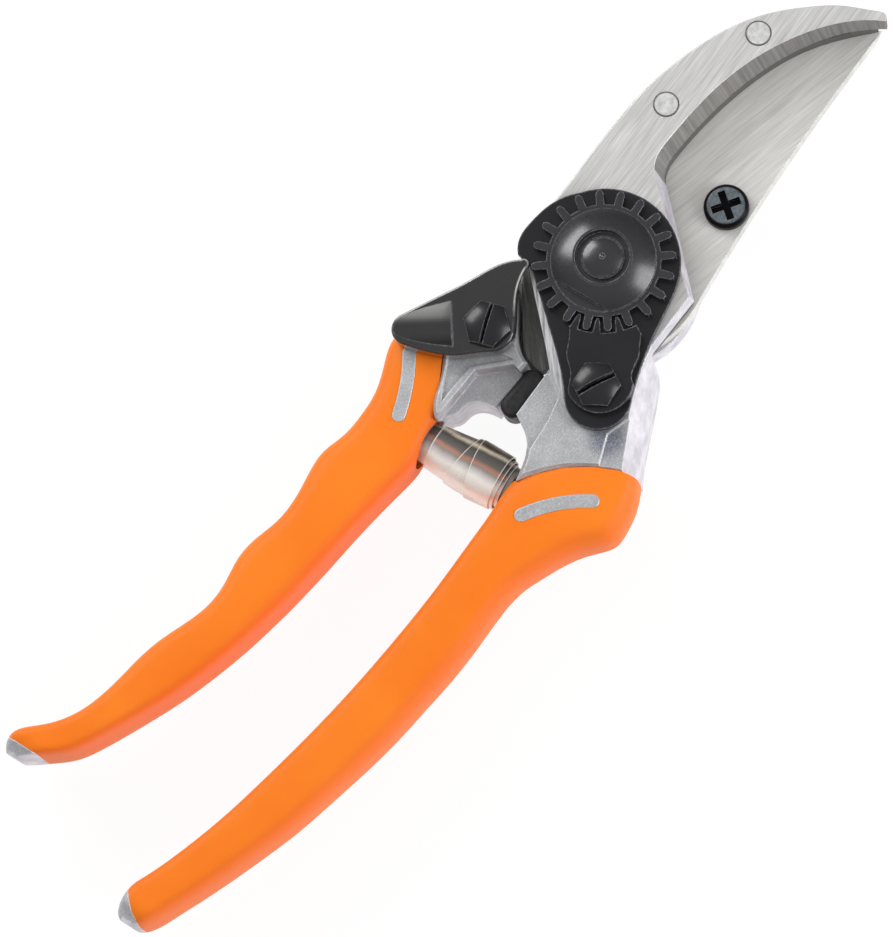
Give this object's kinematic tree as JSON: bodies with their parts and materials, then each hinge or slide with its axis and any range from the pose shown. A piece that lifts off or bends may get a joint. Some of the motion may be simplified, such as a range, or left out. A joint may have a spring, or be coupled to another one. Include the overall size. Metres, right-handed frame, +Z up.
{
  "type": "pruning shears",
  "caption": "Bypass pruning shears: hooked counter-blade and curved blade on a toothed pivot nut, sleeved aluminium handles, volute spring and thumb catch, shown closed.",
  "frame": {"origin": "on the pivot axis, at the underside of the pivot bolt's head, on which the shears rest", "axes": "+X along the tool to the blade tips, +Y to the finger handle's side, +Z up the pivot axis to the toothed nut"},
  "size_m": [0.215, 0.0566, 0.0266],
  "materials": {
    "cast_aluminium": "matte cast and brushed aluminium",
    "blade_steel": "brushed hardened steel",
    "bright_steel": "bright turned steel",
    "black_steel": "satin black oxide",
    "black_catch": "gloss black enamel",
    "black_rubber": "matte black rubber",
    "orange_sleeve": "satin orange vinyl",
    "spring_steel": "nickel-plated spring strip"
  },
  "bodies": {
    "hook_side": {"hook_handle": "cast_aluminium", "anvil_blade": "blade_steel", "hook_rivets": "bright_steel", "palm_grip": "orange_sleeve", "pivot_bolt": "black_steel", "pivot_nut": "black_steel", "lock_plate": "black_steel", "toothed_segment": "black_steel", "segment_screw": "black_steel", "bumper": "black_rubber", "spring_peg_palm": "bright_steel", "spring": "spring_steel"},
    "blade_side": {"blade_handle": "cast_aluminium", "cutting_blade": "blade_steel", "blade_screw": "black_steel", "finger_grip": "orange_sleeve", "catch_screw": "black_steel", "catch_washer": "bright_steel", "spring_peg_finger": "bright_steel"},
    "catch": {"thumb_catch": "black_catch"}
  },
  "joints": [
    {"name": "pivot", "type": "hinge", "parent": "hook_side", "child": "blade_side", "pos_m": [0, 0, 0.01], "axis": [0, 0, -1], "range_deg": [0, 38], "deforming": ["spring"]},
    {"name": "catch_turn", "type": "hinge", "parent": "blade_side", "child": "catch", "pos_m": [-0.0231, 0.007, 0.02], "axis": [0, 0, 1], "range_deg": [0, 30]}
  ]
}
